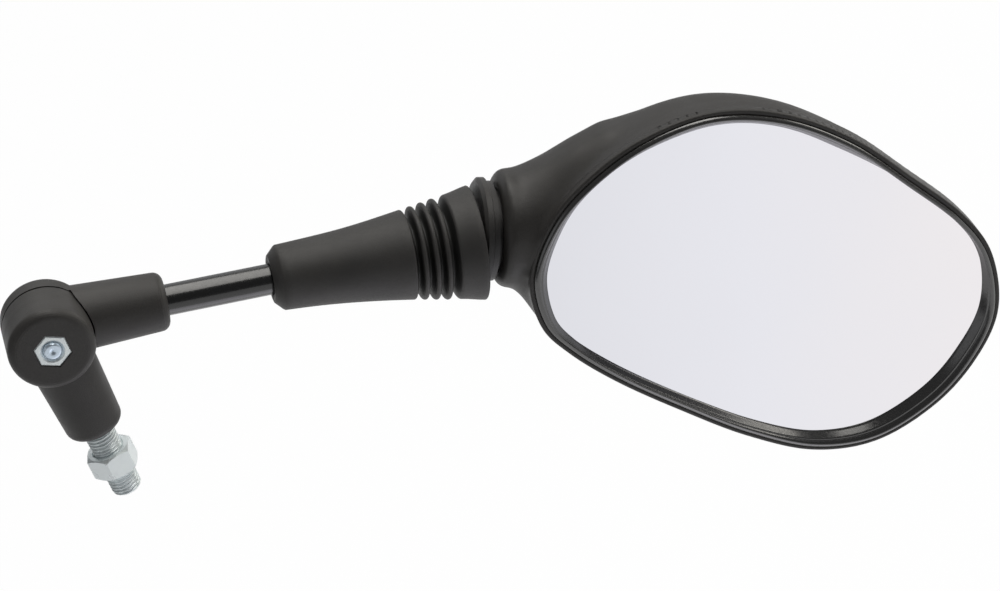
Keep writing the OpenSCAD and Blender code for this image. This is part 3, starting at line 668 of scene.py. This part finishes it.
# Housing's lip: the even front edge of the moulding, with its outer corner rounded
def make_lip():
    top = RIM - CREASE + 0.02
    profile = [(0.0, top - 3.2), (0.0, top - 1.6)] + arc(0.7, top - 0.7, 0.7, 180, 90, 6)
    profile += [(1.95, top), (1.95, top - 1.2), (0.9, top - 1.5), (0.9, top - 3.2)]
    line = outline(24)
    verts, faces = carried_round(line, [(inset(line, d), h) for d, h in profile])
    obj = new_object("housing_lip", verts, faces, housing_mat, matrix=HEAD)
    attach(obj, "head")


# Distance that each point of the outline's rings gains on the rim's inner side
def rim_wider(line):
    angle = np.degrees(np.arctan2(line[:, 1] - MIDDLE[1], line[:, 0] - MIDDLE[0])) % 360
    return eased(angle, RIM_WIDER, 1, 16.0)


# Rim ring: bead along the housing's lip, groove, and a second bead that slopes down to the glass.
# Points are (inset, height), from the ring's outer side and from the rim's front
def make_rim():
    side = WALL + 0.1
    foot = RIM_FOOT - RIM
    bead = [
        (0.0, foot), (0.0, -1.12), (-0.55, -1.12), (-0.5, -0.9), (-0.25, -0.6), (0.1, -0.3), (0.5, -0.08),
        (0.8, 0.0), (1.08, -0.15),
    ]
    slope = [(1.25, -0.45), (1.36, -0.78), (1.48, -0.90), (1.62, -0.90), (1.75, -0.95)]
    slope += [(1.85 + 0.16 * k, -1.08 - 0.27 * k) for k in range(8)]
    slope += [(3.18, -3.18), (3.26, -3.28), (3.2, -3.34)]
    line = outline(24)
    wider = rim_wider(line)
    rings = [(inset(line, side + d), RIM + h) for d, h in bead]
    for d, h in slope:
        share = 0.6 * np.clip((d - 0.3) / 1.5, 0, 1) + 0.4 * np.clip((d - 1.8) / 1.4, 0, 1)
        rings.append((inset(line, (side + d + wider * share)[:, None]), RIM + h))
    rings += [(inset(line, side + 0.7), RIM + h) for h in (-3.34, foot)]
    verts, faces = carried_round(line, rings)
    obj = new_object("rim_bead", verts, faces, rim_mat, matrix=HEAD)
    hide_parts("rim_ring")
    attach(obj, "head")


# Crowned mirror glass, with a small bevel round its edge
def make_glass():
    thick, crown, bevel, base = 2.0, 2.0, 0.3, RIM - 3.4 - 2.0
    line = outline(16)
    edge = inset(line, np.maximum(4.1 + rim_wider(line), 2.95)[:, None])
    middle = np.array(MIDDLE)
    shares = [1.0, 0.994, 0.991, 0.984, 0.965] + [1 - k / 16 for k in range(1, 16)]
    verts = []
    for drop in (0, thick):
        for s in shares:
            z = base + thick - drop + crown * (1 - s * s)
            if s == 1.0 and drop == 0:
                z -= bevel
            verts += [(x, y, z) for x, y in (middle + (edge - middle) * s)]
    n, m = len(line), len(shares)
    top, low = len(verts), len(verts) + 1
    verts += [(middle[0], middle[1], base + thick + crown), (middle[0], middle[1], base + crown)]
    faces = []
    for i in range(n):
        j = (i + 1) % n
        for side, tip in ((0, top), (n * m, low)):
            for k in range(side, side + (m - 1) * n, n):
                faces.append((k + i, k + j, k + n + j, k + n + i))
            inmost = side + (m - 1) * n
            faces.append((inmost + i, inmost + j, tip))
        faces.append((i, j, n * m + j, n * m + i))
    obj = new_object("glass_plate", verts, faces, glass_mat, matrix=HEAD)
    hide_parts("mirror_glass")
    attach(obj, "head")


# Boot: nose, flare, bellows with rounded crests and deep grooves, and the open collar with its thin lip
NOSE_R, FLARE_R, END_R, BORE_R, BOOT_L = 10.5, 14.6, 18.6, 5.3, 67.4
BELLOWS, PITCH, RIDGES, DEEP, STEP_UP = 45.2, 3.65, 3, 4.8, 0.6
COLLAR = BELLOWS + PITCH * (RIDGES + 0.93)
# Its open end's distance from the ball's centre, and the angle by which it sags on the arm
BOOT_TO_BALL, SAG = 13.05, 1.5


def boot_profile():
    pts = [(BORE_R, 0.25), (7.3, 0.0), (7.75, 0.15), (NOSE_R - 0.35, 2.55), (NOSE_R, 3.1)]
    for k in range(1, 18):
        s = k / 18
        hollow = 0.62 * math.sin(math.pi * s)
        pts.append((NOSE_R + (FLARE_R - NOSE_R) * s - hollow, 3.1 + (BELLOWS - 3.9) * s))
    pts += arc(FLARE_R - 0.7, BELLOWS - 0.8, 0.7, 0, 85, 6)
    for i in range(RIDGES + 1):
        top = FLARE_R + STEP_UP * (i + 1)
        base = BELLOWS + PITCH * i
        floor = top - DEEP
        pts += [(top - 1.6, base + 0.08), (floor + 0.4, base + 0.3)]
        pts += [(floor, base + 0.95), (floor + 0.4, base + 1.6)]
        if i < RIDGES:
            pts += [(top - 1.3, base + 1.95)]
            pts += arc(top - 0.82, base + 2.78, 0.82, -80, 82, 9)
        else:
            pts += [(top - 1.7, base + 2.1)]
            pts += arc(top - 1.1, COLLAR + 0.2, 1.1, -78, -8, 6)
    top = FLARE_R + STEP_UP * (RIDGES + 1)
    rise = (END_R - top, BOOT_L - 1.2 - COLLAR)
    pts += [(top + rise[0] * k / 5, COLLAR + 0.6 + rise[1] * k / 5) for k in range(1, 5)]
    pts += arc(END_R - 0.35, BOOT_L - 0.35, 0.35, 8, 90, 5)
    pts += [(END_R - 0.62, BOOT_L - 0.12), (END_R - 0.7, BOOT_L - 1.2), (END_R - 0.9, COLLAR + 4.0)]
    pts += [(top - DEEP - 1.0, COLLAR + 1.5)]
    for i in reversed(range(RIDGES)):
        pts += [(FLARE_R + STEP_UP * (i + 1) - DEEP - 1.2, BELLOWS + PITCH * i + 2.6)]
    pts += [(FLARE_R - DEEP - 0.9, BELLOWS - 2), (NOSE_R - 1.8, 16), (BORE_R, 13)]
    return pts


# True between the bellows' crests, where little light gets in; faces there get painted shade
def in_groove(r, z):
    crest = FLARE_R + STEP_UP * (z - BELLOWS) / PITCH
    return BELLOWS - 0.3 < z < COLLAR - 0.3 and r < crest - 0.5


# Slight unevenness of the soft moulding
def boot_wobble(r, z, a):
    amp = 0.05 if z > 2 else 0.02
    r2 = r + amp * math.sin(2 * a + 0.09 * z) + 0.03 * math.sin(5 * a + 0.21 * z)
    return r2, z + 0.05 * math.sin(3 * a + 1.0) * (1 if 40 < z < 62 else 0)


def make_boot():
    verts, faces = turned(boot_profile(), 144, boot_wobble)
    # the bore stays true to the arm where the boot sags
    out = []
    for x, y, z in verts:
        if math.hypot(x, y) < BORE_R + 0.6 and z < 14:
            x = x - z * math.tan(math.radians(SAG))
        out.append((x, y, z))
    place = ARM @ shift(BALL_AT - BOOT_TO_BALL - BOOT_L, 0, 0) @ rot("Z", -SAG) @ ALONG_X
    obj = new_object("boot_rubber", out, faces, rubber_mat, matrix=place)
    # painted shade: faces between the crests take a near-black material in place of the shade that falls
    # there
    obj.data.materials.append(painted_groove_shade_mat)
    for poly, face in zip(obj.data.polygons, faces):
        ends = [(math.hypot(out[k][0], out[k][1]), out[k][2]) for k in face]
        if all(in_groove(r, z) for r, z in ends):
            poly.material_index = 1
    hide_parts("boot_sleeve")
    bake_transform(obj)


# Ring of points at a height, round, or hexagonal with its flats at that distance from the axis
SEG = 72


def ring(radius, z, hexagonal=False):
    out = []
    for i in range(SEG):
        a = 2 * math.pi * i / SEG
        r = radius / math.cos((a % (math.pi / 3)) - math.pi / 6) if hexagonal else radius
        out.append((r * math.cos(a), r * math.sin(a), z))
    return out


# Points of a pile of rings and the faces between neighbours, the last joined to the first if closed
def piled(rings, closed):
    verts = [p for points in rings for p in points]
    faces = []
    count = len(rings)
    for k in range(count if closed else count - 1):
        n = (k + 1) % count
        for i in range(SEG):
            j = (i + 1) % SEG
            faces.append((k * SEG + i, k * SEG + j, n * SEG + j, n * SEG + i))
    return verts, faces


# Stud: rolled thread over its visible length, plain inside the knuckle, and the moulded-in head
THREAD_PITCH, THREAD_R, ROOT_R = 1.25, 4.97, 4.35
STUD_LOW, THREAD_END, STUD_TOP = -8.7, 26.0, 38.0
STUD_HEAD_H, STUD_HEAD_HALF = 5.0, 7.5


def thread_ring(z):
    out = []
    fade = max(0.0, min(1.0, (THREAD_END - 3.0 - z) / 2.5))
    chamfer = 3.95 + (z - STUD_LOW)
    for i in range(SEG):
        a = 2 * math.pi * i / SEG
        flank = abs(2 * ((z / THREAD_PITCH - i / SEG) % 1.0) - 1)
        rise = min(1.0, max(0.0, (flank - 0.10) / 0.74))
        r = min(ROOT_R + (THREAD_R - ROOT_R) * rise, chamfer)
        r = THREAD_R + (r - THREAD_R) * fade
        out.append((r * math.cos(a), r * math.sin(a), z))
    return out


def make_stud():
    length = THREAD_END - STUD_LOW
    steps = int(length / (THREAD_PITCH / 8))
    under_head = STUD_TOP - STUD_HEAD_H
    rings = [ring(3.5, STUD_LOW)] + [thread_ring(STUD_LOW + length * k / steps) for k in range(steps + 1)]
    rings += [ring(THREAD_R, under_head), ring(STUD_HEAD_HALF, under_head, True)]
    rings += [ring(STUD_HEAD_HALF, STUD_TOP, True)]
    verts, faces = piled(rings, closed=False)
    faces.append(tuple(range(SEG)))
    faces.append(tuple(reversed(range(len(verts) - SEG, len(verts)))))
    obj = new_object("stud_threaded", verts, faces, zinc_mat)
    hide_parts("mounting_stud")
    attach(obj, "stud_side")


# Pivot nut: full corners with a small chamfer, and a countersunk bore round the bolt
POCKET_FRONT = 17.1


def make_pivot_nut():
    half, bore, height, sunk = 5.25, 3.02, 5.2, 0.2
    flanks = (
        (-0.3, 0.0), (0.0, 0.3), (0.0, height - 0.45), (-0.12, height - 0.2), (-0.5, height - 0.02),
        (-0.8, height),
    )
    rings = [ring(bore, 0.0)] + [ring(half + grow, z, True) for grow, z in flanks]
    rings += [ring(3.95, height), ring(3.75, height - 0.12), ring(bore, height - 0.75)]
    verts, faces = piled(rings, closed=True)
    place = HUB @ shift(0, 0, POCKET_FRONT - sunk - height) @ rot("Z", 29.6)
    obj = new_object("pivot_nut_body", verts, faces, zinc_mat, smooth=False, matrix=place)
    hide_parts("pivot_nut")
    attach(obj, "stud_side")


# Bolt's end: chamfered, with a small centre mark
def make_bolt_end():
    top = 17.3
    profile = [
        (0.01, -3.0), (2.95, -3.0), (2.95, -0.5), (2.45, -0.06), (2.3, 0.0), (1.5, 0.06), (0.9, 0.02),
        (0.6, -0.25), (0.3, -0.4), (0.01, -0.42),
    ]
    verts, faces = turned([(r, top + z) for r, z in profile], 48)
    obj = new_object("pivot_bolt_end", verts, faces, bolt_mat, matrix=HUB)
    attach(obj, "stud_side")


make_boot()
make_stud()
make_pivot_nut()
make_bolt_end()
make_housing()
make_lip()
make_rim()
make_glass()


def cleared(owner):
    owner.use_nodes = True
    owner.node_tree.nodes.clear()
    return owner.node_tree


# Floor, far below the mirror: plain white to the camera and in the glass, lit for all else
def make_floor():
    size, z = 6.0, -0.62
    corners = [(-size, -size, z), (size, -size, z), (size, size, z), (-size, size, z)]
    mesh = bpy.data.meshes.new("floor")
    mesh.from_pydata(corners, [], [(0, 1, 2, 3)])
    floor = bpy.data.objects.new("floor", mesh)
    bpy.context.scene.collection.objects.link(floor)
    mat = bpy.data.materials.new("floor_white")
    nt = cleared(mat)
    out = nt.nodes.new("ShaderNodeOutputMaterial")
    lit = nt.nodes.new("ShaderNodeBsdfDiffuse")
    lit.inputs["Color"].default_value = (0.82, 0.82, 0.83, 1)
    glow = nt.nodes.new("ShaderNodeEmission")
    glow.inputs["Color"].default_value = (1.0, 1.0, 1.0, 1)
    glow.inputs["Strength"].default_value = 1.0
    path = nt.nodes.new("ShaderNodeLightPath")
    shown = nt.nodes.new("ShaderNodeMath")
    shown.operation = "MAXIMUM"
    nt.links.new(path.outputs["Is Camera Ray"], shown.inputs[0])
    nt.links.new(path.outputs["Is Glossy Ray"], shown.inputs[1])
    share = nt.nodes.new("ShaderNodeMath")
    share.operation = "MULTIPLY"
    share.inputs[1].default_value = 0.985
    nt.links.new(shown.outputs[0], share.inputs[0])
    mix = nt.nodes.new("ShaderNodeMixShader")
    nt.links.new(share.outputs[0], mix.inputs[0])
    nt.links.new(lit.outputs[0], mix.inputs[1])
    nt.links.new(glow.outputs[0], mix.inputs[2])
    nt.links.new(mix.outputs[0], out.inputs["Surface"])
    mesh.materials.append(mat)


# Surroundings: white to the camera, a dim room for the pieces, a little lighter where they mirror it
def make_room():
    world = bpy.data.worlds.new("studio")
    bpy.context.scene.world = world
    nt = cleared(world)
    out = nt.nodes.new("ShaderNodeOutputWorld")
    dim = nt.nodes.new("ShaderNodeBackground")
    dim.inputs["Color"].default_value = (0.96, 0.97, 1.0, 1)
    white = nt.nodes.new("ShaderNodeBackground")
    white.inputs["Color"].default_value = (1, 1, 1, 1)
    white.inputs["Strength"].default_value = 1.0
    path = nt.nodes.new("ShaderNodeLightPath")
    glossy = nt.nodes.new("ShaderNodeMapRange")
    glossy.inputs["To Min"].default_value = 0.06
    glossy.inputs["To Max"].default_value = 0.16
    mix = nt.nodes.new("ShaderNodeMixShader")
    nt.links.new(path.outputs["Is Glossy Ray"], glossy.inputs["Value"])
    nt.links.new(glossy.outputs["Result"], dim.inputs["Strength"])
    nt.links.new(path.outputs["Is Camera Ray"], mix.inputs[0])
    nt.links.new(dim.outputs[0], mix.inputs[1])
    nt.links.new(white.outputs[0], mix.inputs[2])
    nt.links.new(mix.outputs[0], out.inputs["Surface"])


def area_lamp(name, place, target, size, power, colour=(1, 1, 1)):
    data = bpy.data.lights.new(name, "AREA")
    data.shape = "RECTANGLE"
    data.size, data.size_y = size
    data.energy = power
    data.color = colour
    obj = bpy.data.objects.new(name, data)
    bpy.context.scene.collection.objects.link(obj)
    obj.location = place
    direction = Vector(target) - Vector(place)
    obj.rotation_euler = direction.to_track_quat("-Z", "Y").to_euler()


make_floor()
make_room()
area_lamp("key", (0.55, 0.15, 1.5), (0.14, 0.0, 0.0), (2.2, 0.70), 22.0, (1.0, 0.98, 0.94))
area_lamp("back_panel", (0.15, 1.9, 0.85), (0.14, 0.0, 0.0), (3.2, 1.4), 9.0, (0.98, 0.99, 1.0))
area_lamp("left_fill", (-1.3, -0.7, 0.6), (0.12, 0.0, 0.0), (0.9, 0.9), 1.3, (0.97, 0.98, 1.0))
area_lamp("right_fill", (1.5, -0.5, 0.5), (0.15, 0.0, 0.0), (0.9, 0.9), 0.4)
area_lamp("side_strip", (1.5, 0.30, 0.42), (0.2, 0.0, 0.0), (1.3, 0.6), 8.5, (1.0, 0.97, 0.90))
area_lamp("low_fill", (0.15, -0.18, -0.58), (0.15, 0.0, 0.0), (0.55, 0.55), 1.1, (0.93, 0.90, 1.0))
